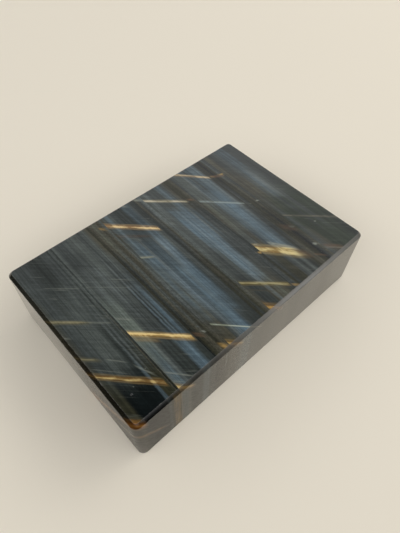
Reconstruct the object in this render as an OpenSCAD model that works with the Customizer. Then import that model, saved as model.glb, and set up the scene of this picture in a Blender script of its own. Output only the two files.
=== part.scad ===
// Polished rectangular block of banded hawk's-eye stone.
// Blue fibre seams stand side by side across the length, thin dark iron bands part them, and
// leaning gold and pale streaks cross the seams. Every body fills its own share of the block.
// The origin is the centre of the underside: X along the length, Y along the seams, Z up.

/* [Block] */
// Length of the block, across the seams
block_l = 90; // [86:1:110]
// Width of the block, along the seams
block_w = 60; // [58:1:80]
// Height of the block
block_h = 23; // [18:1:30]
// Leg of the flat bevel round the top and the bottom
bevel = 1; // [0.5:0.1:1.3]
// Radius of the four upright corners
corner_r = 2; // [1.6:0.1:3]

/* [Seams and bands, from the -X end] */
// Width of blue seam 1
seam_1_w = 13.2; // [13:0.2:14]
// Width of iron band 1
band_1_w = 1; // [0.6:0.2:1.6]
// Width of blue seam 2
seam_2_w = 12.2; // [12:0.2:13]
// Width of iron band 2
band_2_w = 5.2; // [4:0.2:6]
// Width of blue seam 3
seam_3_w = 12.2; // [12:0.2:13]
// Width of iron band 3
band_3_w = 3.4; // [2:0.2:4]
// Width of blue seam 4
seam_4_w = 10.8; // [10.8:0.2:12]
// Width of iron band 4
band_4_w = 2.2; // [1:0.2:3]
// Width of blue seam 5
seam_5_w = 11.2; // [11.2:0.2:12]
// Width of iron band 5
band_5_w = 4.6; // [3:0.2:5]

/* [Streaks] */
// Lean of the streak plates from upright, in degrees
streak_lean = 35; // [25:1:40]
// Gap between a streak and a band, at one end of it at least, so that its seam stays one body
streak_stop = 0.4; // [0.3:0.1:1]

/* [Hidden] */
$fn = 64;
SEAM_W = [seam_1_w, seam_2_w, seam_3_w, seam_4_w, seam_5_w];
BAND_W = [band_1_w, band_2_w, band_3_w, band_4_w, band_5_w];
SEAMS = 6;
// Outer limits of the seam slabs and the streak plates, past every face of the block
past = 2;
reach = 60;
// Length of a plate before its seam's near wall, so that it still spans the seam lower down
lead = 20;

// Each streak: name, seam that it crosses, where it starts on that seam's near wall (mm from the
// front face, on top), how far it falls towards the front per mm of X, the stretch of X that it
// spans (from the near wall; negative is flush with the wall), and its width at both ends.
STREAKS = [
    ["gold_streak_1",  1, 38,   0.9,  -past,       9.5,                    1.0, 0.7],
    ["gold_streak_2",  1, 24,   1.0,  -past,       5,                      0.9, 0.6],
    ["gold_streak_3",  1, 18,   1.07, -past,       seam_1_w - streak_stop, 1.1, 1.5],
    ["gold_streak_4",  1, 1.5,  1.0,  -past,       4,                      2.1, 1.6],
    ["gold_streak_5",  1, -6,   1.0,  -past,       10,                     1.0, 0.6],
    ["gold_streak_6",  2, 20.8, 1.0,  -past,       seam_2_w - streak_stop, 1.2, 1.3],
    ["gold_streak_7",  2, 1,    1.0,  -past,       5,                      1.5, 1.0],
    ["gold_streak_8",  3, 55.6, 1.0,  -past,       seam_3_w - streak_stop, 1.4, 1.3],
    ["gold_streak_9",  3, 1.2,  1.0,  -past,       5,                      1.7, 1.2],
    ["gold_streak_10", 4, 12.5, 0.9,  -past,       seam_4_w - streak_stop, 1.1, 1.0],
    ["gold_streak_11", 4, 2,    1.0,  -past,       5,                      1.9, 1.2],
    ["gold_streak_12", 5, 62,   1.1,  streak_stop, seam_5_w - streak_stop, 1.0, 0.8],
    ["gold_streak_13", 5, 18,   1.1,  -past,       9.8,                    2.4, 3.2],
    ["pale_streak_1",  3, 38.8, 0.75, streak_stop, 4,                      0.7, 0.6],
    ["pale_streak_2",  3, 9,    1.05, streak_stop, seam_3_w - streak_stop, 0.4, 0.3],
    ["pale_streak_3",  4, 56.2, 0.9,  -past,       seam_4_w - streak_stop, 1.0, 0.8],
    ["pale_streak_4",  5, 44.6, 1.0,  streak_stop, seam_5_w - streak_stop, 0.8, 0.7],
    ["pale_streak_5",  6, 22.2, 0.95, streak_stop, seam_6_w() + past,      0.7, 0.8]
];

function total(list, count) = count == 0 ? 0 : list[count - 1] + total(list, count - 1);
// X of the near wall of seam n, and of band n
function seam_x(n) = -block_l / 2 + total(SEAM_W, n - 1) + total(BAND_W, n - 1);
function band_x(n) = seam_x(n) + SEAM_W[n - 1];
function seam_6_w() = block_l - total(SEAM_W, 5) - total(BAND_W, 5);
function seam_w(n) = n == SEAMS ? seam_6_w() : SEAM_W[n - 1];

// Upright cross-section of the block, w wide, bevelled at the top and the bottom
module bevelled_section(w) {
    polygon([
        [-w / 2 + bevel, 0],
        [w / 2 - bevel, 0],
        [w / 2, bevel],
        [w / 2, block_h - bevel],
        [w / 2 - bevel, block_h],
        [-w / 2 + bevel, block_h],
        [-w / 2, block_h - bevel],
        [-w / 2, bevel]
    ]);
}

// Round post at a corner of the block, bevelled like the sides
module corner_post() {
    rotate_extrude()
        polygon([
            [0, 0],
            [corner_r - bevel, 0],
            [corner_r, bevel],
            [corner_r, block_h - bevel],
            [corner_r - bevel, block_h],
            [0, block_h]
        ]);
}

// The whole block: two bars that cross, and a round post in each of the four corners
module block() {
    bar_l = block_l - 2 * corner_r;
    bar_w = block_w - 2 * corner_r;
    translate([-bar_l / 2, 0, 0])
        rotate([90, 0, 90])
            linear_extrude(bar_l)
                bevelled_section(block_w);
    translate([0, bar_w / 2, 0])
        rotate([90, 0, 0])
            linear_extrude(bar_w)
                bevelled_section(block_l);
    for (x = [-bar_l / 2, bar_l / 2], y = [-bar_w / 2, bar_w / 2])
        translate([x, y, 0])
            corner_post();
}

// Everything between two planes across the block
module between(x_low, x_high) {
    translate([x_low, -reach, -past])
        cube([x_high - x_low, 2 * reach, block_h + 2 * past]);
}

// The share of the block that starts at x and is w thick, out to the end face where there is one
module slice(x, w) {
    first = x < bevel - block_l / 2;
    last = x + w > block_l / 2 - bevel;
    intersection() {
        block();
        between(first ? x - past : x, last ? x + w + past : x + w);
    }
}

// The leaning, tapered plate that streak s fills within its seam
module plate(s) {
    x = seam_x(s[1]);
    turn = atan(s[3]);
    run = s[5] / cos(turn);
    taper = (s[7] - s[6]) / run;
    // Half thickness across the plate, a distance along it from the near wall
    function half(along) = (s[6] + taper * along) / 2 * cos(streak_lean);
    intersection() {
        between(x + s[4], x + s[5]);
        translate([x, s[2] - block_w / 2, block_h])
            rotate([0, 0, -turn])
                rotate([streak_lean, 0, 0])
                    translate([0, 0, -reach])
                        linear_extrude(reach + past * 2)
                            polygon([
                                [-lead, -half(-lead)],
                                [run + lead, -half(run + lead)],
                                [run + lead, half(run + lead)],
                                [-lead, half(-lead)]
                            ]);
    }
}

module blue_seam(n) {
    color("#33434f")
        difference() {
            slice(seam_x(n), seam_w(n));
            for (s = STREAKS)
                if (s[1] == n) plate(s);
        }
}

module iron_band(n) {
    color("#2b2925")
        slice(band_x(n), BAND_W[n - 1]);
}

// A gold or a pale streak, as its name says
module streak(s) {
    color(s[0][0] == "g" ? "#b98a3e" : "#9a9c8c")
        intersection() {
            slice(seam_x(s[1]), seam_w(s[1]));
            plate(s);
        }
}

for (n = [1:SEAMS])
    blue_seam(n);
for (n = [1:SEAMS - 1])
    iron_band(n);
for (s = STREAKS)
    streak(s);
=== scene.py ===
"""Looks for a polished block of hawk's-eye stone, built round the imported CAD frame.

Every CAD node (fibre seams, iron bands, gold and pale streaks) is carved from one finely modelled
block with worn arrises, nicks and pits, so the pieces meet exactly where the CAD says. Patterns are
written in millimetres in the row frame: X across the seams, Y along them, Z up.
"""
import math
import random

import bmesh
import bpy
import numpy as np
from mathutils import Matrix, Vector


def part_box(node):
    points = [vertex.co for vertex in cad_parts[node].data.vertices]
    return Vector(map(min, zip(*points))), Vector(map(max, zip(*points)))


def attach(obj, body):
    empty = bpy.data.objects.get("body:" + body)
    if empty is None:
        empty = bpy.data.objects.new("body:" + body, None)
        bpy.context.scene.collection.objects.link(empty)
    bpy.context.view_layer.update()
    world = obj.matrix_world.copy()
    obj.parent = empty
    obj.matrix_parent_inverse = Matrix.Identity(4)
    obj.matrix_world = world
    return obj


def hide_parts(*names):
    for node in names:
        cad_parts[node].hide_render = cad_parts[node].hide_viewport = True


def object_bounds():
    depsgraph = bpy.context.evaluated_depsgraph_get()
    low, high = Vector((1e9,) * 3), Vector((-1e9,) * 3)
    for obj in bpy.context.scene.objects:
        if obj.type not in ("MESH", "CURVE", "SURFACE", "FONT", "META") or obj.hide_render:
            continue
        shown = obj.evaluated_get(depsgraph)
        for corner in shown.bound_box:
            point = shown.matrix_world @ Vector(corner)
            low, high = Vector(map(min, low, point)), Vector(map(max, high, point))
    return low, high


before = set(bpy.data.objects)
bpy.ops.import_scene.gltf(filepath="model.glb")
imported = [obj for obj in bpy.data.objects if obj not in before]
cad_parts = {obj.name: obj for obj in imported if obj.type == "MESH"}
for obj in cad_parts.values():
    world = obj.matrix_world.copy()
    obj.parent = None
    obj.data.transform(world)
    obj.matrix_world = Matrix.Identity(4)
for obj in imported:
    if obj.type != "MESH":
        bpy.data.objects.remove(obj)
CAD_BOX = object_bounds()

MM = 0.001
LOW, HIGH = (corner / MM for corner in CAD_BOX)
LENGTH, WIDTH, HEIGHT = HIGH - LOW

# ---------------------------------------------------------------- the block's fine shape, in mm
BEVEL = 1.0
CORNER_R = 2.0
SKIN = 0.02            # how far the fine block lies inside the CAD block
STATION = 0.35         # spacing of the cross-sections along a straight side
CORNER_STEPS = 30      # cross-sections round each upright corner
ARRIS_STEPS = 3        # facets round each arris
ARRIS_R = 0.10         # radius of a polished arris
ARRIS_MEAN, ARRIS_SLOW, ARRIS_QUICK = 1.25, 0.5, 0.45    # its unevenness, as shares of ARRIS_R
LEG_SWAY = 0.05        # how far a bevel's leg strays from BEVEL
NICK_COUNT = 26
NICK_DEPTH = (0.25, 0.75)
CLEAR_PIT = (-40.1, -22.7, 0.32, 0.12)    # X, Y, radius and depth
PINHOLE_COUNT = 16
PINHOLE_R = (0.07, 0.17)
PINHOLE_MARGIN = 3     # of a pinhole from the front and the back side
FLAT_NORMAL = 0.99999  # a face whose normal has a part this large lies along an axis
CREASE = math.radians(25)
WELD = 1e-7            # metres: corners of the CAD mesh this close are one

rng = random.Random(7)


def smooth_noise(count, period, seed):
    """A closed, smooth run of `count` values between -1 and 1 that swings about every `period`."""
    dice = random.Random(seed)
    knots = max(4, round(count / period))
    heights = [dice.uniform(-1, 1) for _ in range(knots)]
    values = []
    for i in range(count):
        at = i * knots / count
        k = int(at)
        t = at - k
        t = t * t * (3 - 2 * t)
        values.append(heights[k % knots] * (1 - t) + heights[(k + 1) % knots] * t)
    return values


def outline():
    """Stations round the block's plan, each a corner-circle centre and an outward direction."""
    half_l = LENGTH / 2 - SKIN - CORNER_R
    half_w = WIDTH / 2 - SKIN - CORNER_R
    corners = [(half_l, half_w), (-half_l, half_w), (-half_l, -half_w), (half_l, -half_w)]
    stations = []
    for k, (x, y) in enumerate(corners):
        for i in range(CORNER_STEPS + 1):
            turn = math.radians(90 * (k + i / CORNER_STEPS))
            stations.append((Vector((x, y)), Vector((math.cos(turn), math.sin(turn)))))
        here, there = Vector((x, y)), Vector(corners[(k + 1) % 4])
        steps = round((there - here).length / STATION)
        out = stations[-1][1]
        stations += [(here.lerp(there, i / steps), out) for i in range(1, steps)]
    return stations


def arris(corner, before, after, radius):
    """Points round a worn corner of the profile; before and after are its two unit directions."""
    reach = radius * math.tan(math.radians(22.5))
    a, b = corner - before * reach, corner + after * reach
    points = []
    for i in range(ARRIS_STEPS + 1):
        t = i / ARRIS_STEPS
        points.append(a * (1 - t) ** 2 + corner * (2 * t * (1 - t)) + b * t * t)
    return points


def profile(leg_low, leg_high, radii):
    """(inset, height) points up the side of the block, from the underside to the top face."""
    top = HEIGHT - 2 * SKIN
    slope = math.sqrt(0.5)
    out, up, back = Vector((-1, 0)), Vector((0, 1)), Vector((1, 0))
    rise, lean = Vector((-slope, slope)), Vector((slope, slope))
    spots = [
        (Vector((leg_low, 0)), out, rise),
        (Vector((0, leg_low)), rise, up),
        (Vector((0, top - leg_high)), up, lean),
        (Vector((leg_high, top)), lean, back),
    ]
    points = []
    for (corner, before, after), radius in zip(spots, radii):
        points += arris(corner, before, after, radius)
    return points


def worn_radii(stations):
    """Radius of the four arrises at every station: a little uneven, and larger at each nick."""
    count = len(stations)
    radii = []
    for line in range(4):
        slow = smooth_noise(count, 40, 20 + line)
        quick = smooth_noise(count, 2.2, 30 + line)
        radii.append([ARRIS_R * (ARRIS_MEAN + ARRIS_SLOW * slow[i] + ARRIS_QUICK * quick[i])
                      for i in range(count)])
    for _ in range(NICK_COUNT):
        line, at = rng.randrange(4), rng.randrange(count)
        half, deep = rng.randint(1, 3), rng.uniform(*NICK_DEPTH)
        for step in range(-half, half + 1):
            share = 1 - abs(step) / (half + 1)
            i = (at + step) % count
            radii[line][i] = max(radii[line][i], deep * share * rng.uniform(0.7, 1))
    return radii


def new_object(name, vertices, faces):
    mesh = bpy.data.meshes.new(name)
    mesh.from_pydata([tuple(v) for v in vertices], [], faces)
    mesh.update()
    obj = bpy.data.objects.new(name, mesh)
    bpy.context.scene.collection.objects.link(obj)
    return obj


def fine_block():
    """The whole block as one closed mesh, in metres."""
    stations = outline()
    count = len(stations)
    low_wave, high_wave = smooth_noise(count, 60, 3), smooth_noise(count, 60, 4)
    radii = worn_radii(stations)
    vertices = []
    for i, (centre, out) in enumerate(stations):
        legs = BEVEL + LEG_SWAY * low_wave[i], BEVEL + LEG_SWAY * high_wave[i]
        ring = profile(*legs, [radii[line][i] for line in range(4)])
        for inset, height in ring:
            flat = centre + out * (CORNER_R - inset)
            vertices.append(Vector((flat.x, flat.y, height + SKIN)) * MM)
    size = len(vertices) // count
    faces = []
    for i in range(count):
        here, there = i * size, (i + 1) % count * size
        faces += [(here + j, there + j, there + j + 1, here + j + 1) for j in range(size - 1)]
    faces.append(tuple(i * size for i in reversed(range(count))))
    faces.append(tuple(i * size + size - 1 for i in range(count)))
    return new_object("fine_block", vertices, faces)


def applied(obj):
    """The mesh of obj with its modifiers applied."""
    graph = bpy.context.evaluated_depsgraph_get()
    return bpy.data.meshes.new_from_object(obj.evaluated_get(graph))


def cut(obj, operation, cutter):
    change = obj.modifiers.new(operation.lower(), "BOOLEAN")
    change.operation = operation
    change.object = cutter
    change.solver = "MANIFOLD"


def pit(x, y, radius, depth):
    """A lens-shaped cutter, a little ragged in plan, for a shallow pit in the top face."""
    rings, spokes = 5, 20
    top = HEIGHT - SKIN
    vertices = [Vector((x, y, top - depth))]
    for ring in range(1, rings + 1):
        r = radius * 1.3 * ring / rings
        z = top + depth * ((r / radius) ** 2 - 1)
        for spoke in range(spokes):
            turn = 2 * math.pi * spoke / spokes
            uneven = 1 + 0.12 * math.sin(3 * turn + x) + 0.06 * math.sin(5 * turn + y)
            place = (x + r * uneven * math.cos(turn), y + r * uneven * math.sin(turn), z)
            vertices.append(Vector(place))
    vertices.append(Vector((x, y, top + 1)))
    faces = [(0, 1 + (s + 1) % spokes, 1 + s) for s in range(spokes)]
    for ring in range(rings - 1):
        a, b = 1 + ring * spokes, 1 + (ring + 1) * spokes
        for s in range(spokes):
            t = (s + 1) % spokes
            faces.append((a + s, a + t, b + t, b + s))
    rim = 1 + (rings - 1) * spokes
    faces += [(rim + s, rim + (s + 1) % spokes, len(vertices) - 1) for s in range(spokes)]
    return new_object("pit", [v * MM for v in vertices], faces)


def pitted(block):
    """Cuts one clear pit near the front corner, and a few pinholes in the softer iron bands."""
    cutters = [pit(*CLEAR_PIT)]
    bands = [n for n in sorted(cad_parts) if n.startswith("iron_band")]
    for _ in range(PINHOLE_COUNT):
        low, high = (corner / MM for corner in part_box(rng.choice(bands)))
        x = rng.uniform(low.x, high.x)
        y = rng.uniform(low.y + PINHOLE_MARGIN, high.y - PINHOLE_MARGIN)
        radius = rng.uniform(*PINHOLE_R)
        cutters.append(pit(x, y, radius, radius * 0.5))
    for cutter in cutters:
        cut(block, "DIFFERENCE", cutter)
    block.data = applied(block)
    block.modifiers.clear()
    for cutter in cutters:
        bpy.data.objects.remove(cutter)
    return block


def crisp_shading(mesh):
    """Smooth round the corners and arrises, and dead flat on every polished or inner face."""
    mesh.polygons.foreach_set("use_smooth", [True] * len(mesh.polygons))
    normals = np.zeros(len(mesh.polygons) * 3, np.float32)
    mesh.polygons.foreach_get("normal", normals)
    normals = normals.reshape(-1, 3)
    flat = np.abs(normals).max(axis=1) > FLAT_NORMAL
    sides = {}
    for polygon in mesh.polygons:
        for key in polygon.edge_keys:
            sides.setdefault(key, []).append(polygon.index)
    sharp = []
    for edge in mesh.edges:
        near = sides.get(edge.key, [])
        alone = len(near) != 2
        sharp.append(alone or flat[near[0]] != flat[near[1]]
                     or float(normals[near[0]] @ normals[near[1]]) < math.cos(CREASE))
    mesh.attributes.new("sharp_edge", "BOOLEAN", "EDGE").data.foreach_set("value", sharp)


def welded(node):
    """A copy of a CAD node's mesh with its loose faces joined into one closed solid."""
    shape = bmesh.new()
    shape.from_mesh(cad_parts[node].data)
    bmesh.ops.remove_doubles(shape, verts=shape.verts, dist=WELD)
    mesh = bpy.data.meshes.new("cutter")
    shape.to_mesh(mesh)
    shape.free()
    obj = bpy.data.objects.new("cutter", mesh)
    bpy.context.scene.collection.objects.link(obj)
    return obj


def carve(block, node):
    """The piece of the fine block that lies in a CAD node."""
    piece = bpy.data.objects.new("stone_" + node, block.data)
    bpy.context.scene.collection.objects.link(piece)
    cutter = welded(node)
    cut(piece, "INTERSECT", cutter)
    piece.data = applied(piece)
    piece.modifiers.clear()
    bpy.data.objects.remove(cutter)
    crisp_shading(piece.data)
    return piece


# ---------------------------------------------------------------- the stone's colours
TONES = {
    "ink": (0.006, 0.009, 0.009),
    "coal": (0.031, 0.037, 0.034),
    "bark": (0.029, 0.029, 0.017),
    "fern": (0.026, 0.036, 0.022),
    "moss": (0.060, 0.058, 0.041),
    "slate": (0.053, 0.062, 0.059),
    "dusk": (0.056, 0.077, 0.086),
    "fog": (0.074, 0.086, 0.079),
    "lichen": (0.094, 0.100, 0.076),
    "mist": (0.104, 0.121, 0.117),
    "sage": (0.128, 0.152, 0.130),
    "steel": (0.098, 0.130, 0.142),
    "cobalt": (0.096, 0.140, 0.168),
    "ice": (0.135, 0.180, 0.204),
    "rust": (0.200, 0.110, 0.060),
    "amber": (0.420, 0.270, 0.090),
    "chalk": (0.300, 0.320, 0.270),
}

# Stripes of every seam and band, one row at each of four stations in Y: X in mm, then the tone
STATIONS = (20, 8, -10, -26)
STRIPES = {
    "blue_seam_1": [
        "-44.5 fog -43 slate -39.4 slate -38.4 coal -35.4 coal -34.4 slate -32.8 slate -32.3 coal"
        " -31.9 slate",
        "-44.5 lichen -42.6 slate -40.8 slate -39.2 fog -38.4 slate -37.2 fog -36 slate -35.2 fog"
        " -34.2 slate -32.8 fog -32.3 coal -31.9 fog",
        "-44.5 moss -42.5 slate -40.6 slate -39 fog -36.6 fog -35.4 coal -34.6 coal -34.2 mist"
        " -33.8 coal -33.2 mist -32.8 coal -32.2 fog",
        "-44.5 bark -42.2 bark -41.4 ink -36.6 ink -34.9 ink -34.5 dusk -34 dusk -33.7 bark",
    ],
    "iron_band_1": [
        "-31.8 slate -31.5 fog -31.1 coal -30.9 coal",
        "-31.8 fog -31.5 fog -31.1 coal -30.9 slate",
        "-31.8 slate -31.5 moss -31.2 coal -30.9 coal",
        "-31.8 bark -31.5 moss -31.2 ink -30.9 bark",
    ],
    "blue_seam_2": [
        "-30.6 fog -29.4 slate -27 slate -24.8 fog -23 fog -22 slate -20.2 fog -19 moss",
        "-30.6 fog -29.6 fog -28.4 mist -27.2 fog -25.4 mist -23.4 fog -22.3 slate -21.9 mist"
        " -21.5 slate -20.7 slate -20.3 mist -19.9 fog -19 slate",
        "-30.6 sage -27.8 sage -27 fog -26.2 slate -23 slate -22.4 coal -22 ice -21.6 coal -21.2 steel"
        " -20.8 slate -20.4 cobalt -19.8 cobalt -19.2 slate",
        "-30.6 mist -29.6 steel -28.8 steel -28 mist -27 slate -26.4 coal -23.8 coal -22.6 cobalt"
        " -21.4 cobalt -20.8 dusk -20 coal -19 coal",
    ],
    "iron_band_2": [
        "-18.5 bark -17.4 moss -16 lichen -15.2 moss -14.4 moss -13.6 fog",
        "-18.5 bark -17.6 coal -16.8 moss -16 fog -15.2 moss -14.4 moss -13.6 fog",
        "-18.5 bark -17.6 coal -16.8 moss -16 fog -15.2 moss -14.4 slate -13.6 mist",
        "-18.5 ink -17.6 bark -16.8 moss -16 moss -15.2 bark -14.4 moss -13.6 moss",
    ],
    "blue_seam_3": [
        "-13.2 moss -12.4 fog -11.2 steel -10.4 fog -9.6 slate -8 coal -5.8 coal -4.8 dusk -3.4 dusk"
        " -2.4 slate -1.6 coal",
        "-13.2 fog -12.2 steel -10.2 cobalt -9.4 mist -8.8 dusk -6.2 dusk -5.6 mist -4.9 ice -3.6 ice"
        " -2.9 steel -2.4 fog -1.4 slate",
        "-13.2 fog -12.2 steel -11.2 fog -9.6 ice -8.2 dusk -7.3 cobalt -6.4 steel -5.5 cobalt"
        " -4 cobalt -3.2 dusk -2.4 slate",
        "-13.2 moss -11 moss -10.4 slate -9.6 mist -8.6 steel -7.2 cobalt -5.8 cobalt -4.9 slate"
        " -3.4 coal -1.4 coal",
    ],
    "iron_band_3": [
        "-1.1 coal -0.6 coal 0.1 moss 0.9 slate 1.7 mist",
        "-1.1 coal -0.6 coal 0.1 slate 0.9 moss 1.7 fog",
        "-1.1 coal -0.6 bark 0.1 moss 0.9 bark 1.7 fog",
        "-1.1 bark -0.6 bark 0.1 coal 0.9 bark 1.7 moss",
    ],
    "blue_seam_4": [
        "2.4 fog 4 mist 5.4 slate 6.4 fog 7.2 slate 8 fog 8.9 steel 9.8 steel 10.8 slate 12 moss"
        " 12.8 bark",
        "2.4 mist 3.4 fog 4.6 mist 5.4 cobalt 6.3 cobalt 7.2 ice 8 cobalt 8.8 ice 9.8 cobalt 10.6 mist"
        " 11.3 dusk 12.2 slate",
        "2.4 fog 4 slate 4.8 slate 5.7 fog 6.4 steel 7.2 ice 8 cobalt 8.8 ice 9.7 steel 10.4 slate",
        "2.4 moss 3.4 coal 5.8 coal 6.6 moss 7.3 mist 8.1 moss 9.6 lichen 10.4 moss 12.9 coal",
    ],
    "iron_band_4": [
        "13.1 bark 13.8 bark 14.6 moss",
        "13.1 slate 13.8 coal 14.6 coal 15.1 moss",
        "13.1 slate 13.8 slate 14.6 coal",
        "13.1 slate 13.8 slate 14.6 bark",
    ],
    "blue_seam_5": [
        "15.4 slate 16.8 fog 18.4 fog 19.2 mist 20 dusk 21 slate 21.8 dusk 22.5 dusk 23.6 steel"
        " 24.8 steel 25.8 slate 26.3 bark",
        "15.4 moss 16.4 lichen 17.6 fog 18.6 fog 19.4 steel 20.6 steel 21.6 cobalt 23.2 cobalt 24 steel"
        " 25 mist 25.7 slate 26.3 bark",
        "15.4 fog 16.4 fog 17.8 moss 18.6 slate 19.3 dusk 20 steel 21.2 cobalt 23.2 steel 24 dusk"
        " 24.8 coal 26.3 coal",
        "15.4 coal 16.6 bark 18.6 bark 19.3 slate 20.2 fog 21.4 coal 22.4 fog 23.4 coal 25 bark"
        " 26.3 moss",
    ],
    "iron_band_5": [
        "26.6 coal 27.3 bark 28 ink 28.8 bark 29.6 slate 30.6 coal",
        "26.6 slate 27.3 coal 28 bark 28.8 bark 29.6 moss 30.6 coal",
        "26.6 bark 27.3 bark 28 bark 28.8 ink 29.6 bark 30.6 bark",
        "26.6 moss 27.3 bark 28 bark 28.8 ink 29.6 coal 30.6 moss",
    ],
    "blue_seam_6": [
        "31.2 moss 32.4 moss 33.6 coal 34.6 coal 35.4 slate 37 dusk 39.3 dusk 40.3 coal 44.5 coal",
        "31.2 moss 34.4 moss 35.2 slate 36 fog 36.8 steel 38.4 mist 39.3 fog 40.1 slate 41 coal",
        "31.2 fern 32 slate 33.4 fern 35.6 fern 36.8 coal 37.6 fern 39.2 slate 40.2 fern 44.5 fern",
        "31.2 slate 33.4 moss 34.6 fern 38 fern 40 fern 44.5 ink",
    ],
}

# Thin laminae too fine to be bodies of their own: node, X and Y where one starts on the top face,
# its fall towards the front per mm of X, how far it runs in X, its width, tone and strength
LAMINAE = [
    ("blue_seam_1", -40.0, 18.0, 0.9, 8.2, 0.30, "chalk", 0.20),
    ("blue_seam_1", -39.5, -11.0, 1.2, 4.0, 0.35, "chalk", 0.35),
    ("blue_seam_1", -43.5, -11.0, 1.15, 6.5, 0.25, "chalk", 0.22),
    ("blue_seam_1", -37.0, 0.8, 0.9, 5.4, 0.60, "chalk", 0.30),
    ("blue_seam_1", -35.2, -17.0, 2.3, 3.0, 0.45, "chalk", 0.40),
    ("blue_seam_1", -45.0, 1.8, 1.0, 2.8, 0.50, "chalk", 0.30),
    ("blue_seam_1", -44.6, -26.0, 1.0, 4.0, 0.60, "moss", 0.60),
    ("blue_seam_2", -30.8, 10.4, 0.9, 10.0, 0.30, "chalk", 0.20),
    ("blue_seam_2", -30.8, -3.2, 1.0, 3.8, 0.45, "chalk", 0.40),
    ("blue_seam_2", -31.0, -10.8, 1.0, 5.6, 1.50, "amber", 0.28),
    ("blue_seam_2", -23.4, -17.4, 1.0, 5.0, 1.30, "amber", 0.25),
    ("blue_seam_2", -30.8, -23.4, 1.2, 5.5, 0.40, "chalk", 0.45),
    ("blue_seam_2", -30.8, -26.5, 1.0, 3.0, 0.30, "chalk", 0.30),
    ("iron_band_2", -17.0, 28.0, 1.0, 1.8, 1.60, "lichen", 0.80),
    ("iron_band_2", -15.8, 26.0, 1.0, 2.4, 0.90, "amber", 0.50),
    ("iron_band_2", -18.6, -20.4, 1.0, 2.8, 1.20, "rust", 0.35),
    ("blue_seam_3", -13.4, 19.8, 0.85, 9.0, 1.10, "rust", 0.16),
    ("blue_seam_3", -13.4, 22.4, 1.0, 9.0, 1.60, "dusk", 0.55),
    ("blue_seam_3", -5.2, 29.6, 1.0, 2.4, 0.80, "chalk", 0.50),
    ("iron_band_2", -15.6, -27.5, 1.0, 2.4, 1.50, "amber", 0.80),
    ("iron_band_4", 12.8, -27.4, 1.0, 2.6, 0.80, "amber", 0.60),
    ("blue_seam_4", 10.6, -25.4, 1.0, 2.6, 0.70, "amber", 0.45),
    ("iron_band_3", -0.4, 29.0, 0.9, 2.9, 0.90, "chalk", 0.60),
    ("iron_band_3", -1.2, 30.4, 0.9, 2.0, 0.60, "amber", 0.40),
    ("iron_band_3", 0.9, 14.6, 1.1, 1.3, 0.60, "chalk", 0.35),
    ("iron_band_4", 13.0, 17.4, 0.8, 2.4, 0.90, "rust", 0.55),
    ("blue_seam_4", 2.2, 13.2, 1.1, 1.6, 0.80, "chalk", 0.35),
    ("blue_seam_4", 5.6, -19.6, 1.15, 6.4, 0.45, "chalk", 0.55),
    ("blue_seam_4", 2.2, -20.4, 1.0, 6.0, 0.50, "moss", 0.80),
    ("blue_seam_4", 2.2, -17.4, 0.9, 4.5, 0.50, "amber", 0.22),
    ("blue_seam_5", 16.6, -22.6, 1.0, 3.0, 0.90, "moss", 0.70),
    ("blue_seam_5", 19.2, -12.9, 1.4, 5.6, 1.30, "chalk", 0.80),
    ("blue_seam_5", 22.0, -20.0, 1.1, 4.4, 2.40, "rust", 0.30),
    ("iron_band_5", 26.2, -24.6, 1.1, 3.4, 0.70, "rust", 0.30),
    ("iron_band_5", 27.0, -11.0, 1.0, 4.0, 2.20, "rust", 0.22),
    ("iron_band_5", 26.4, 20.4, 0.7, 4.4, 1.10, "rust", 0.45),
    ("iron_band_5", 26.2, 20.6, 0.9, 1.8, 0.60, "amber", 0.45),
    ("blue_seam_6", 31.0, -24.6, 1.0, 5.4, 1.50, "rust", 0.35),
    ("blue_seam_6", 31.4, -25.6, 1.0, 4.6, 0.50, "chalk", 0.20),
    ("blue_seam_6", 34.0, 6.0, 1.0, 6.0, 0.30, "fog", 0.40),
]

# Small inclusions that reach the top face: node, X, Y, radius, tone
SPECKS = [
    ("iron_band_5", 30.2, 1.9, 0.50, "chalk"),
    ("iron_band_5", 27.3, 2.5, 0.45, "lichen"),
    ("iron_band_5", 30.1, -22.6, 0.75, "chalk"),
    ("iron_band_5", 30.0, -13.2, 0.70, "lichen"),
    ("iron_band_5", 30.0, 18.8, 0.75, "amber"),
    ("iron_band_2", -15.9, -21.6, 0.45, "chalk"),
    ("iron_band_2", -16.0, -19.6, 0.40, "mist"),
    ("blue_seam_5", 15.9, -10.6, 0.45, "chalk"),
    ("iron_band_4", 14.7, -13.6, 0.60, "amber"),
    ("blue_seam_6", 37.2, -16.6, 0.30, "chalk"),
    ("blue_seam_2", -21.6, 2.4, 0.35, "mist"),
    ("blue_seam_1", -38.6, -21.4, 0.15, "chalk"),
    ("blue_seam_1", -33.6, -19.6, 0.15, "chalk"),
    ("blue_seam_3", -1.8, 14.2, 0.18, "mist"),
    ("blue_seam_5", 17.8, -7.4, 0.16, "mist"),
]

# Stains on the front side: X from and to, Z from and to, tone, strength
STAINS = [
    (-33.4, -30.4, -3.0, 26.0, "amber", 0.22),
    (-32.6, -31.4, -3.0, 7.0, "amber", 0.30),
    (-15.6, -14.4, 9.0, 24.0, "chalk", 0.25),
]

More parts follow.
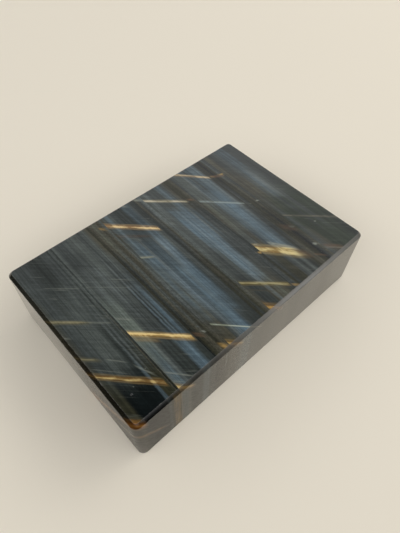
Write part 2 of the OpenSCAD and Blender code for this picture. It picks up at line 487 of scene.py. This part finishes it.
# Each streak's finish: strength, tone at its dull and at its bright stretches, and where its
# brightest fibre lies across it (-1 is the front edge, 1 the back edge)
DULL_GOLD, PALE_GOLD, ORANGE = (0.20, 0.115, 0.035), (0.34, 0.30, 0.17), (0.34, 0.14, 0.025)
GREEN_GREY, SKY = (0.20, 0.22, 0.15), (0.30, 0.36, 0.36)
FINISH = {
    "gold_streak_1": (0.75, (0.12, 0.11, 0.06), PALE_GOLD, 0.5),
    "gold_streak_2": (0.60, (0.12, 0.11, 0.06), PALE_GOLD, 0.3),
    "gold_streak_3": (1.00, (0.15, 0.085, 0.028), (0.60, 0.45, 0.19), -0.2),
    "gold_streak_4": (1.00, ORANGE, (0.80, 0.42, 0.10), 0.0),
    "gold_streak_5": (0.90, DULL_GOLD, PALE_GOLD, 0.2),
    "gold_streak_6": (1.00, (0.28, 0.17, 0.05), (0.86, 0.64, 0.28), 0.4),
    "gold_streak_7": (1.00, DULL_GOLD, (0.60, 0.44, 0.18), 0.2),
    "gold_streak_8": (1.00, (0.25, 0.15, 0.065), (0.82, 0.61, 0.31), -0.4),
    "gold_streak_9": (1.00, DULL_GOLD, (0.66, 0.48, 0.18), 0.0),
    "gold_streak_10": (0.90, (0.13, 0.10, 0.035), (0.38, 0.33, 0.16), 0.6),
    "gold_streak_11": (1.00, DULL_GOLD, (0.62, 0.38, 0.12), -0.2),
    "gold_streak_12": (0.95, (0.20, 0.15, 0.09), (0.60, 0.48, 0.30), 0.4),
    "gold_streak_13": (1.00, (0.27, 0.17, 0.05), (0.76, 0.62, 0.29), -0.35),
    "pale_streak_1": (0.80, GREEN_GREY, (0.30, 0.30, 0.24), 0.4),
    "pale_streak_2": (1.00, GREEN_GREY, (0.44, 0.49, 0.42), 0.0),
    "pale_streak_3": (1.00, (0.22, 0.20, 0.13), (0.58, 0.52, 0.38), -0.3),
    "pale_streak_4": (0.80, (0.14, 0.16, 0.13), SKY, -0.4),
    "pale_streak_5": (0.80, (0.05, 0.05, 0.035), (0.22, 0.20, 0.15), 0.2),
}
FRAY, WAVE, DRIFT = 0.36, 0.50, 12.0     # mm that the stripes sway in X, twice, and their stations in Y
# Contrast of the growth lines, of the fibres across them and of the speckled grain
SEAM_GRAIN, BAND_GRAIN = (0.24, 0.14, 0.10), (0.26, 0.14, 0.24)
LEAN = math.radians(35)                  # of every lamina and streak, from upright
LAMINA_WORN = 0.35                       # what is left of a lamina where it is worn thin
SPECK_SHARE, HAIRLINE_SHARE = 0.7, 0.16  # strength of specks and of pale hairlines
RUST_GRAINS, RUST_SHARE = 2.2, 0.45      # tiny grains per mm in the iron bands, and their strength
# A streak's light: its share from the seam's own stripes, its brightest fibre and its threads
STRIPE_LIGHT = (0.4, 0.7, 0.3)
CREST_HIGH, CREST_LOW = 0.07, -0.05
THREAD_LIGHT = 0.32
DIM, BRIGHT = 0.03, 0.22                 # light at which a streak has its dull and its bright tone
EDGE_SHARE, SPILL_SHARE = 0.30, 0.45     # strength at a streak's edge, and just outside it
FADE_LENGTH = 0.35                       # share of a short streak over which its end fades

# Surface
SEAM_SURFACE, BAND_SURFACE, STREAK_SURFACE = (0.40, 0.25), (0.48, 0.45), (0.34, 0.35)   # rough, relief
SILK_SPREAD = 0.07                       # of the roughness, from fibre to fibre
SILK_DEPTH = 0.02                        # mm
STONE_IOR, STONE_SPECULAR = 1.54, 0.05
POLISH_ROUGHNESS = 0.03
# Pale tone of the worn arrises, partly wear and partly painted highlight; the front bevel's painted
# highlight uses it too
WEAR_AND_HIGHLIGHT_TONE = (0.30, 0.29, 0.26)
WEAR_REACH = (0.05, 0.16)                # mm from an arris: where the wear and its painted highlight start to fade, and where they end
# How pale, rough and dull the worn arrises are; the paleness is partly a painted highlight
WEAR_AND_HIGHLIGHT_PALE, WEAR_ROUGH, WEAR_DULL = 0.35, 0.2, 0.5
DULL_CORNER, DULL_REACH, DULL_PATCHES = 0.55, (5, 48), 0.08
BEVEL_HIGHLIGHT_SPAN, BEVEL_HIGHLIGHT = (-42, 12), 0.34      # X over which the front bevel gets its painted highlight, and how bright it is
# By the size of the normal's Z or X, for the painted shade by face direction: what counts as leaning,
# as level and as an end
LEANING, LEVEL, AN_END = (0.1, 0.6), (0.72, 0.98), (0.5, 0.9)
# Painted shade: the share of colour kept on the sides, and on the bevels and ends (there also dull
# fibre ends)
SIDE_PAINTED_SHADE, END_PAINTED_SHADE = (0.37, 0.33, 0.27), (0.24, 0.21, 0.17)


class Graph:
    """Short names for building the nodes of one material."""

    def __init__(self, material):
        material.use_nodes = True
        self.tree = material.node_tree
        self.shader = self.tree.nodes["Principled BSDF"]

    def link(self, socket, value):
        if isinstance(value, bpy.types.NodeSocket):
            self.tree.links.new(value, socket)
        elif hasattr(value, "__len__") and len(socket.default_value) == 4:
            socket.default_value = (*value, 1)
        else:
            socket.default_value = value

    def add(self, kind, *values, **settings):
        node = self.tree.nodes.new("ShaderNode" + kind)
        for name, value in settings.items():
            setattr(node, name, value)
        for socket, value in zip(node.inputs, values):
            self.link(socket, value)
        return node

    def math(self, operation, *values):
        return self.add("Math", *values, operation=operation).outputs[0]

    def dot(self, vector, direction):
        return self.add("VectorMath", vector, direction, operation="DOT_PRODUCT").outputs["Value"]

    def step(self, value, low, high, to_low=0.0, to_high=1.0):
        """A smooth step from to_low at low to to_high at high."""
        values = value, low, high, to_low, to_high
        return self.add("MapRange", *values, interpolation_type="SMOOTHSTEP").outputs[0]

    def band(self, value, low, high, soft):
        """1 between low and high, and 0 outside, with edges this soft."""
        rise, fall = self.step(value, low, low + soft), self.step(value, high - soft, high, 1, 0)
        return self.math("MULTIPLY", rise, fall)

    def swing(self, noise, size):
        """Noise turned into a swing of this size about zero."""
        return self.math("MULTIPLY_ADD", noise, size, -size / 2)

    def scaled(self, scale):
        """The point in mm, times a number for each axis."""
        return self.add("VectorMath", self.spot, scale, operation="MULTIPLY").outputs[0]

    def noise(self, place, detail=2.0, roughness=0.5):
        node = self.add("TexNoise", place)
        node.inputs["Scale"].default_value = 1.0
        node.inputs["Detail"].default_value = detail
        node.inputs["Roughness"].default_value = roughness
        return node.outputs[0]

    def mix(self, share, low, high, blend="MIX"):
        node = self.add("Mix", data_type="RGBA", blend_type=blend)
        for socket, value in zip((node.inputs[0], node.inputs[6], node.inputs[7]), (share, low, high)):
            self.link(socket, value)
        return node.outputs[2]

    def ramp(self, value, low, high, stops):
        """A colour ramp over low..high, with its stops as (place, colour)."""
        node = self.add("ValToRGB", self.add("MapRange", value, low, high).outputs[0])
        elements = node.color_ramp.elements
        while len(elements) < len(stops):
            elements.new(1.0)
        for element, (place, colour) in zip(elements, stops):
            element.position = (place - low) / (high - low)
            element.color = (*colour, 1)
        return node.outputs[0]


class Place(Graph):
    """A graph with the coordinates of the stone: millimetres, and the lie of its laminae."""

    def __init__(self, material):
        super().__init__(material)
        spot = self.add("TexCoord").outputs["Object"]
        self.spot = self.add("VectorMath", spot, (1 / MM,) * 3, operation="MULTIPLY").outputs[0]
        self.x, self.y, self.z = self.add("SeparateXYZ", self.spot).outputs
        across = lamina_normal(1.0)
        self.across = self.dot(self.spot, across)
        self.along = self.dot(self.spot, Vector((1, -1, 0)).normalized())
        self.down = self.dot(self.spot, across.cross(Vector((1, -1, 0))).normalized())

    def fibre(self, across, along, down, detail=2.0, roughness=0.5):
        """Noise drawn out along the laminae; the first three numbers are its changes per mm."""
        place = self.add("CombineXYZ", self.math("MULTIPLY", self.across, across),
                         self.math("MULTIPLY", self.along, along),
                         self.math("MULTIPLY", self.down, down)).outputs[0]
        return self.noise(place, detail, roughness)

    def stripe(self, across, along, detail=2.0, roughness=0.5):
        """Noise drawn out along the seams; the numbers are its changes per mm of X, and of Y or Z."""
        place = self.add("CombineXYZ", self.math("MULTIPLY", self.x, across),
                         self.math("MULTIPLY", self.y, along),
                         self.math("MULTIPLY", self.z, along)).outputs[0]
        return self.noise(place, detail, roughness)


def lamina_normal(fall):
    """Unit normal of a lamina that falls this far towards the front per mm of X."""
    turn = math.atan(fall)
    return Vector((math.cos(LEAN) * math.sin(turn), math.cos(LEAN) * math.cos(turn), math.sin(LEAN)))


def stops_of(row):
    words = row.split()
    return [(float(x), TONES[tone]) for x, tone in zip(words[::2], words[1::2])]


def striped(g, slab):
    """The slab's stripes across X, which change along Y from one station to the next."""
    low, high = (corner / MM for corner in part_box(slab))
    frayed = g.swing(g.fibre(1.6, 0.05, 0.15, 3), FRAY)
    wavy = g.swing(g.noise(g.scaled((0.25, 0.07, 0.07))), WAVE)
    x = g.math("ADD", g.x, g.math("ADD", frayed, wavy))
    y = g.math("ADD", g.y, g.swing(g.fibre(0.35, 0.03, 0.05), DRIFT))
    rows = [g.ramp(x, low.x - 1, high.x + 1, stops_of(row)) for row in STRIPES[slab]]
    colour = rows[0]
    for i in range(1, len(rows)):
        colour = g.mix(g.step(y, STATIONS[i - 1], STATIONS[i]), colour, rows[i])
    return colour


def lamina(g, colour, x, y, fall, run, width, tone, strength):
    """Lays one thin, soft-ended lamina over the colour."""
    normal = lamina_normal(fall)
    foot = normal.dot(Vector((x, y, HEIGHT)))
    gap = g.math("ABSOLUTE", g.math("SUBTRACT", g.dot(g.spot, normal), foot))
    body = g.step(gap, width * 0.15, width * 0.65, 1, 0)
    start, end = g.step(g.x, x - 0.3, x + 0.8), g.step(g.x, x + run - 1.6, x + run, 1, 0)
    ends = g.math("MULTIPLY", start, end)
    worn = g.step(g.fibre(6, 0.5, 0.8), 0.30, 0.55, LAMINA_WORN, 1)
    share = g.math("MULTIPLY", g.math("MULTIPLY", body, ends), g.math("MULTIPLY", worn, strength))
    return g.mix(share, colour, TONES[tone])


def speck(g, colour, x, y, radius, tone):
    """A small ragged inclusion, drawn out along the laminae."""
    away = g.add("VectorMath", g.spot, (x, y, HEIGHT), operation="SUBTRACT").outputs[0]
    along = g.dot(away, Vector((1, -1, 0)).normalized() * 0.5)
    across = g.dot(away, Vector((1, 1, 0)).normalized())
    down = g.dot(away, Vector((0, 0, 1)))
    reach = g.add("CombineXYZ", along, across, down).outputs[0]
    reach = g.add("VectorMath", reach, operation="LENGTH").outputs["Value"]
    reach = g.math("MULTIPLY_ADD", g.noise(g.spot, 3), radius * 2.0, g.math("SUBTRACT", reach, radius))
    return g.mix(g.step(reach, 0.0, radius, SPECK_SHARE, 0), colour, TONES[tone])


def grained(g, colour, stripe_depth, fibre_depth, grain_depth):
    """Fine growth lines along the seam, and the fibres that lie across it."""
    lines = g.step(g.stripe(1.6, 0.03, 5, 0.72), 0.38, 0.62, 1 - stripe_depth, 1 + stripe_depth)
    fibres = g.step(g.fibre(1.8, 0.10, 0.20, 5, 0.75), 0.36, 0.64, 1 - fibre_depth, 1 + fibre_depth)
    cloud = g.noise(g.scaled((0.12,) * 3), 3)
    grain = g.noise(g.scaled((2.6, 1.3, 1.3)), 3, 0.7)
    depth = g.math("MULTIPLY", g.math("MULTIPLY", lines, fibres), g.step(cloud, 0.3, 0.7, 0.92, 1.08))
    depth = g.math("MULTIPLY", depth, g.step(grain, 0.3, 0.7, 1 - grain_depth, 1 + grain_depth))
    return g.add("VectorMath", colour, depth, operation="MULTIPLY").outputs[0]


def painted_side_shade(g, colour):
    """Painted shade by face direction: the top and underside keep their colour, the front and back
    sides are drawn darker, and the bevels and the two ends darkest; on the ends this also stands for
    dull fibre ends.
    """
    normal = g.add("NewGeometry").outputs["Normal"]
    normal = g.add("VectorMath", normal, operation="ABSOLUTE").outputs[0]
    end, _, flat = g.add("SeparateXYZ", normal).outputs
    side = g.add("VectorMath", colour, SIDE_PAINTED_SHADE, operation="MULTIPLY").outputs[0]
    dark = g.add("VectorMath", colour, END_PAINTED_SHADE, operation="MULTIPLY").outputs[0]
    darkest = g.math("MAXIMUM", g.step(flat, *LEANING), g.step(end, *AN_END))
    return g.mix(g.step(flat, *LEVEL), g.mix(darkest, side, dark), colour)


def stains(g, colour):
    """Iron stain that shows on the front side only, as upright bands."""
    normal = g.add("NewGeometry").outputs["Normal"]
    facing = g.step(g.dot(normal, (0, -1, 0)), 0.6, 0.9)
    for left, right, low, high, tone, strength in STAINS:
        across = g.band(g.x, left, right, 0.5)
        up = g.band(g.z, low, high, 3)
        ragged = g.step(g.stripe(1.5, 0.12, 4, 0.7), 0.38, 0.62, 0.25, 1)
        share = g.math("MULTIPLY", g.math("MULTIPLY", across, up), g.math("MULTIPLY", facing, ragged))
        colour = g.mix(g.math("MULTIPLY", share, strength), colour, TONES[tone])
    return colour


def hairlines(g, colour):
    """Faint pale lines that wander along the laminae."""
    height = g.math("ABSOLUTE", g.math("SUBTRACT", g.fibre(0.9, 0.02, 0.05, 1), 0.5))
    here = g.step(g.fibre(0.3, 0.12, 0.2, 1), 0.48, 0.62)
    line = g.step(height, 0.003, 0.012, HAIRLINE_SHARE, 0)
    return g.mix(g.math("MULTIPLY", line, here), colour, TONES["chalk"])


def arris_wear_and_highlight(g):
    """How worn the surface is, in broken lines along the arrises of the bevels; their pale colour is
    partly wear and partly a painted highlight of the light the arrises catch.
    """
    half = Vector((LENGTH / 2 - CORNER_R, WIDTH / 2 - CORNER_R, 0))
    plan = g.add("VectorMath", g.spot, operation="ABSOLUTE").outputs[0]
    plan = g.add("VectorMath", plan, half, operation="SUBTRACT").outputs[0]
    corner = g.add("VectorMath", plan, (0, 0, 0), operation="MAXIMUM").outputs[0]
    u, v, _ = g.add("SeparateXYZ", corner).outputs
    rounded = g.math("SQRT", g.math("ADD", g.math("MULTIPLY", u, u), g.math("MULTIPLY", v, v)))
    inside = g.add("SeparateXYZ", plan).outputs
    inside = g.math("MINIMUM", g.math("MAXIMUM", inside[0], inside[1]), 0.0)
    inset = g.math("SUBTRACT", CORNER_R, g.math("ADD", rounded, inside))
    rise = g.math("SUBTRACT", HEIGHT / 2, g.math("ABSOLUTE", g.math("SUBTRACT", g.z, HEIGHT / 2)))
    inner = g.math("ADD", g.math("ABSOLUTE", g.math("SUBTRACT", inset, BEVEL)), rise)
    outer = g.math("ADD", g.math("ABSOLUTE", g.math("SUBTRACT", rise, BEVEL)), inset)
    near = g.step(g.math("MINIMUM", inner, outer), *WEAR_REACH, 1, 0)
    broken = g.step(g.noise(g.spot, 3, 0.6), 0.46, 0.62)
    return g.math("MULTIPLY", near, broken)


def side_polish(g):
    """How much weaker the polish is: uneven on the sides, and weakest by the front left corner."""
    flat = g.math("ABSOLUTE", g.dot(g.add("NewGeometry").outputs["Normal"], (0, 0, 1)))
    side = g.step(flat, 0.1, 0.5, 1, 0)
    away = g.add("VectorMath", g.spot, (-LENGTH / 2, -WIDTH / 2, HEIGHT / 2), operation="DISTANCE")
    corner = g.step(away.outputs["Value"], *DULL_REACH, DULL_CORNER, 0)
    patches = g.step(g.noise(g.scaled((2.2, 2.2, 0.9)), 3), 0.3, 0.7, 0, DULL_PATCHES)
    return g.math("MULTIPLY", side, g.math("ADD", corner, patches))


def painted_bevel_highlight(g):
    """A painted highlight on the bevel over the front side, brightest on its right half."""
    # This is 1.41 on that bevel, and at most 1.0 on the faces beside it
    leaning = g.step(g.dot(g.add("NewGeometry").outputs["Normal"], (0, -1, 1)), 1.25, 1.40)
    return g.math("MULTIPLY", leaning, g.step(g.x, *BEVEL_HIGHLIGHT_SPAN, 0, BEVEL_HIGHLIGHT))


def finish(g, colour, roughness, relief):
    """Polish over silky fibre: the coat is the polish, and the base under it is rougher."""
    wear_and_highlight = arris_wear_and_highlight(g)
    # Painted shade on the sides, bevels and ends, then the real iron stains on the front
    colour = stains(g, painted_side_shade(g, colour))
    # Pale colour: worn arrises, partly a painted highlight along them, and the painted highlight on the
    # front bevel
    pale = g.math("MAXIMUM", g.math("MULTIPLY", wear_and_highlight, WEAR_AND_HIGHLIGHT_PALE), painted_bevel_highlight(g))
    g.link(g.shader.inputs["Base Color"], g.mix(pale, colour, WEAR_AND_HIGHLIGHT_TONE))
    silk = g.fibre(5.0, 0.2, 0.6, 3)
    rough = g.step(silk, 0.3, 0.7, roughness - SILK_SPREAD, roughness + SILK_SPREAD)
    rough = g.math("ADD", rough, g.math("MULTIPLY", wear_and_highlight, WEAR_ROUGH))
    g.link(g.shader.inputs["Roughness"], rough)
    bump = g.add("Bump")
    bump.inputs["Strength"].default_value = relief
    bump.inputs["Distance"].default_value = SILK_DEPTH * MM
    g.link(bump.inputs["Height"], g.math("ADD", silk, g.stripe(5.0, 0.05)))
    g.link(g.shader.inputs["Normal"], bump.outputs[0])
    polish = g.math("SUBTRACT", 1.0, side_polish(g))
    polish = g.math("SUBTRACT", polish, g.math("MULTIPLY", wear_and_highlight, WEAR_DULL))
    g.link(g.shader.inputs["Coat Weight"], polish)
    g.shader.inputs["Coat Roughness"].default_value = POLISH_ROUGHNESS
    g.shader.inputs["Coat IOR"].default_value = STONE_IOR
    g.shader.inputs["IOR"].default_value = STONE_IOR
    g.shader.inputs["Specular IOR Level"].default_value = STONE_SPECULAR


def stone_colour(g, slab, *depths):
    """Stripes, grain, thin laminae and specks of one seam or band."""
    colour = grained(g, striped(g, slab), *depths)
    for node, *shape in LAMINAE:
        if node == slab:
            colour = lamina(g, colour, *shape)
    for node, *shape in SPECKS:
        if node == slab:
            colour = speck(g, colour, *shape)
    return colour


def seam_stone(slab):
    """Blue fibre seam: soft stripes, silky fibres and a few pale hairlines."""
    material = bpy.data.materials.new(slab)
    g = Place(material)
    colour = hairlines(g, stone_colour(g, slab, *SEAM_GRAIN))
    for node in FINISH:
        if home_slab(node) == slab:
            colour = spill(g, colour, node)
    finish(g, colour, *SEAM_SURFACE)
    return material


def band_stone(slab):
    """Iron band: dark, finely lined, with a coarser grain and tiny rusty grains."""
    material = bpy.data.materials.new(slab)
    g = Place(material)
    colour = stone_colour(g, slab, *BAND_GRAIN)
    cells = g.add("TexVoronoi", g.spot)
    cells.inputs["Scale"].default_value = RUST_GRAINS
    grain = g.step(cells.outputs["Distance"], 0.06, 0.16, 1, 0)
    chosen = g.step(g.noise(g.scaled((0.8,) * 3)), 0.56, 0.62)
    share = g.math("MULTIPLY", g.math("MULTIPLY", grain, chosen), RUST_SHARE)
    finish(g, g.mix(share, colour, TONES["rust"]), *BAND_SURFACE)
    return material


def plate_faces(node):
    """The streak's two leaning faces, each as an inward normal and its offset, in mm."""
    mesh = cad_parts[node].data
    area = {}
    for polygon in mesh.polygons:
        normal = polygon.normal
        if 0.2 < abs(normal.z) < 0.95 and abs(normal.y) > 0.2 and abs(normal.x) > 0.2:
            key = tuple(round(value, 2) for value in normal)
            total, _, _ = area.get(key, (0, None, None))
            place = mesh.vertices[polygon.vertices[0]].co
            area[key] = total + polygon.area, -normal, -normal.dot(place) / MM
    faces = sorted(area.values(), key=lambda face: -face[0])[:2]
    faces.sort(key=lambda face: face[1].y, reverse=True)
    return [(normal.copy(), offset) for _, normal, offset in faces]


def sides_of(g, node):
    """How deep a point lies inside each leaning face of a streak, in mm."""
    return [g.math("SUBTRACT", g.dot(g.spot, normal), offset) for normal, offset in plate_faces(node)]


def thickness(node):
    """How thick a streak is at its middle, in mm."""
    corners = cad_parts[node].data.vertices
    middle = sum((corner.co for corner in corners), Vector()) / len(corners) / MM
    return sum(normal.dot(middle) - offset for normal, offset in plate_faces(node))


def fade_out(g, node):
    """1 along a streak, falling towards an end that stops short of its seam's far wall."""
    low, high = (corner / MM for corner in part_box(node))
    _, wall = (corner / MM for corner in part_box(home_slab(node)))
    short = wall.x - high.x > 1
    fade = (high.x - low.x) * FADE_LENGTH
    return g.step(g.x, high.x - fade, high.x + 0.2, 1, 0) if short else 1.0


def spill(g, colour, node):
    """Stray threads of a streak's own colour in the seam beside it."""
    low, high = (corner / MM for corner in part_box(node))
    strength, dull, bright, _ = FINISH[node]
    outside = g.math("MULTIPLY", g.math("MINIMUM", *sides_of(g, node)), -1.0)
    reach = 0.5 * thickness(node)
    ragged = g.swing(g.fibre(2.2, 0.12, 0.4, 4, 0.7), 1.6 * reach)
    near = g.step(g.math("ADD", outside, ragged), -0.2 * reach, reach, SPILL_SHARE * strength, 0)
    ends = g.math("MULTIPLY", g.step(g.x, low.x - 0.3, low.x + 0.2),
                  g.step(g.x, high.x - 0.6, high.x + 0.6, 1, 0))
    share = g.math("MULTIPLY", g.math("MULTIPLY", near, ends), fade_out(g, node))
    return g.mix(share, colour, tuple(0.65 * a + 0.35 * b for a, b in zip(dull, bright)))


def streak_stone(node):
    """Gold or pale fibre that fills a streak: bright where the seam's own stripes are."""
    material = bpy.data.materials.new(node)
    g = Place(material)
    strength, dull, bright, core = FINISH[node]
    ground = stone_colour(g, home_slab(node), *SEAM_GRAIN)
    from_front, from_back = sides_of(g, node)
    across = g.math("DIVIDE", g.math("SUBTRACT", from_front, from_back),
                    g.math("ADD", from_front, from_back))
    off_core = g.math("ADD", g.math("SUBTRACT", across, core), g.swing(g.fibre(0.2, 0.35, 0.3, 2), 1.2))
    crest = g.step(g.math("ABSOLUTE", off_core), 0.0, 1.0, CREST_HIGH, CREST_LOW)
    fine, coarse = g.fibre(5.0, 0.08, 0.3, 4, 0.7), g.fibre(1.2, 0.30, 0.4, 2)
    threads = g.math("ADD", g.swing(fine, THREAD_LIGHT), g.swing(coarse, THREAD_LIGHT))
    light = g.math("ADD", g.math("ADD", g.dot(ground, STRIPE_LIGHT), crest), threads)
    colour = g.mix(g.step(light, DIM, BRIGHT), dull, bright)
    ragged = g.swing(g.fibre(2.4, 0.16, 0.5, 4, 0.7), 1.4)
    edge = g.step(g.math("ADD", g.math("ABSOLUTE", across), ragged), 0.45, 1.15, strength, EDGE_SHARE)
    edge = g.math("MULTIPLY", edge, fade_out(g, node))
    finish(g, g.mix(edge, ground, colour), *STREAK_SURFACE)
    return material


def home_slab(node):
    """The seam that a streak lies in."""
    low, high = (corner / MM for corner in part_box(node))
    middle = (low.x + high.x) / 2
    for slab in STRIPES:
        near, far = (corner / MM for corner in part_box(slab))
        if slab.startswith("blue_seam") and near.x < middle < far.x:
            return slab


def stone(node):
    if node.startswith("blue_seam"):
        return seam_stone(node)
    return band_stone(node) if node.startswith("iron_band") else streak_stone(node)


block = pitted(fine_block())
for node in sorted(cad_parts):
    piece = carve(block, node)
    piece.data.materials.clear()
    piece.data.materials.append(stone(node))
    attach(piece, "root")
    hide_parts(node)
bpy.data.objects.remove(block)


# ---------------------------------------------------------------- the studio
LENS, SENSOR = 29.73, 36               # mm
NEAREST = 0.01                         # metres
CAMERA_AT = Vector((-55.4, -60.4, 125.7)) * MM
CAMERA_AZIMUTH, CAMERA_DOWN, CAMERA_ROLL = 44.14, 53.34, 1.84

# Light, by azimuth from +X towards +Y and elevation, in degrees
SOFTBOX_AIM = (-12, 42)
SOFTBOX_AWAY, SOFTBOX_SIZE, SOFTBOX_POWER = 0.8, 0.55, 0.9
SOFTBOX_COLOUR = (1.0, 0.96, 0.90)
GLOW_AIM = (42, 24)
GLOW_LEVEL, GLOW_FALL = 0.35, 12.0
FILL_LEVEL = 0.80
FRONT_AIM = (-75, 50)
FRONT_LEVEL, FRONT_FALL = 1.2, 2.0
LEFT_AIM = (180, 45)
LEFT_LEVEL, LEFT_FALL = 1.6, 3.0
WINDOW_AIM = (-56, 13)
WINDOW_LEVEL, WINDOW_FALL = 2.2, 120.0
FILL_FROM, FILL_FULL = 0.22, 0.60      # height over the horizon, as Z of the direction
HOOD_AIM = (90, 82)
HOOD_DARK, HOOD_CLEAR = 0.99, 0.50     # cosine of the angle to the dark hood overhead
BACKDROP = (0.60, 0.57, 0.51)          # what the camera sees past the floor
FLOOR_HALF = 3.0
FLOOR_COLOUR = (0.92, 0.85, 0.72)
FLOOR_ROUGHNESS, FLOOR_SPECULAR = 0.9, 0.1


def aim(azimuth, elevation):
    a, e = math.radians(azimuth), math.radians(elevation)
    return Vector((math.cos(a) * math.cos(e), math.sin(a) * math.cos(e), math.sin(e)))


def make_floor():
    h = FLOOR_HALF
    floor = new_object("floor", [(-h, -h, 0), (h, -h, 0), (h, h, 0), (-h, h, 0)], [(0, 1, 2, 3)])
    material = bpy.data.materials.new("floor")
    material.use_nodes = True
    shader = material.node_tree.nodes["Principled BSDF"]
    shader.inputs["Base Color"].default_value = (*FLOOR_COLOUR, 1)
    shader.inputs["Roughness"].default_value = FLOOR_ROUGHNESS
    shader.inputs["Specular IOR Level"].default_value = FLOOR_SPECULAR
    floor.data.materials.append(material)


def make_camera():
    data = bpy.data.cameras.new("camera")
    data.lens = LENS
    data.sensor_width = SENSOR
    data.clip_start = NEAREST
    camera = bpy.data.objects.new("camera", data)
    bpy.context.scene.collection.objects.link(camera)
    camera.matrix_world = (
        Matrix.Translation(CAMERA_AT)
        @ Matrix.Rotation(math.radians(-CAMERA_AZIMUTH), 4, "Z")
        @ Matrix.Rotation(math.radians(90 - CAMERA_DOWN), 4, "X")
        @ Matrix.Rotation(math.radians(CAMERA_ROLL), 4, "Z")
    )
    bpy.context.scene.camera = camera


def make_softbox():
    data = bpy.data.lights.new("softbox", "AREA")
    data.shape = "DISK"
    data.size = SOFTBOX_SIZE
    data.energy = SOFTBOX_POWER
    data.color = SOFTBOX_COLOUR
    softbox = bpy.data.objects.new("softbox", data)
    bpy.context.scene.collection.objects.link(softbox)
    out = aim(*SOFTBOX_AIM)
    softbox.location = out * SOFTBOX_AWAY
    softbox.rotation_euler = out.to_track_quat("Z", "Y").to_euler()


def make_sky():
    """A studio dome: soft light, most from the front and the left, under a dark hood overhead.

    A small window at the front right and a glow at the back right stand low over the floor.
    """
    world = bpy.data.worlds.new("studio")
    bpy.context.scene.world = world
    world.use_nodes = True
    tree = world.node_tree
    nodes, links = tree.nodes, tree.links
    way = nodes.new("ShaderNodeTexCoord").outputs["Generated"]
    split = nodes.new("ShaderNodeSeparateXYZ")
    links.new(way, split.inputs[0])

    def link(socket, value):
        if isinstance(value, (int, float)):
            socket.default_value = value
        else:
            links.new(value, socket)

    def math_node(operation, a, b):
        n = nodes.new("ShaderNodeMath")
        n.operation = operation
        link(n.inputs[0], a)
        link(n.inputs[1], b)
        return n.outputs[0]

    def step(value, low, high):
        n = nodes.new("ShaderNodeMapRange")
        n.interpolation_type = "SMOOTHSTEP"
        link(n.inputs["Value"], value)
        n.inputs["From Min"].default_value = low
        n.inputs["From Max"].default_value = high
        return n.outputs[0]

    def towards(direction):
        n = nodes.new("ShaderNodeVectorMath")
        n.operation = "DOT_PRODUCT"
        n.inputs[1].default_value = direction
        links.new(way, n.inputs[0])
        return n.outputs["Value"]

    def lobe(direction, fall, level):
        facing = math_node("MAXIMUM", towards(aim(*direction)), 0.0)
        return math_node("MULTIPLY", math_node("POWER", facing, fall), level)

    raised = step(split.outputs["Z"], FILL_FROM, FILL_FULL)
    open_sky = step(towards(aim(*HOOD_AIM)), HOOD_DARK, HOOD_CLEAR)
    front = lobe(FRONT_AIM, FRONT_FALL, FRONT_LEVEL)
    left = lobe(LEFT_AIM, LEFT_FALL, LEFT_LEVEL)
    fill = math_node("ADD", math_node("ADD", front, left), FILL_LEVEL)
    fill = math_node("MULTIPLY", fill, raised)
    fill = math_node("MULTIPLY", fill, open_sky)
    glow = lobe(GLOW_AIM, GLOW_FALL, GLOW_LEVEL)
    window = lobe(WINDOW_AIM, WINDOW_FALL, WINDOW_LEVEL)
    light = math_node("ADD", math_node("ADD", fill, glow), window)
    seen = nodes.new("ShaderNodeMix")
    seen.data_type = "RGBA"
    links.new(nodes.new("ShaderNodeLightPath").outputs["Is Camera Ray"], seen.inputs[0])
    links.new(light, seen.inputs[6])
    seen.inputs[7].default_value = (*BACKDROP, 1)
    links.new(seen.outputs[2], nodes["Background"].inputs["Color"])


make_floor()
make_camera()
make_softbox()
make_sky()
bpy.context.scene.view_settings.view_transform = "Standard"
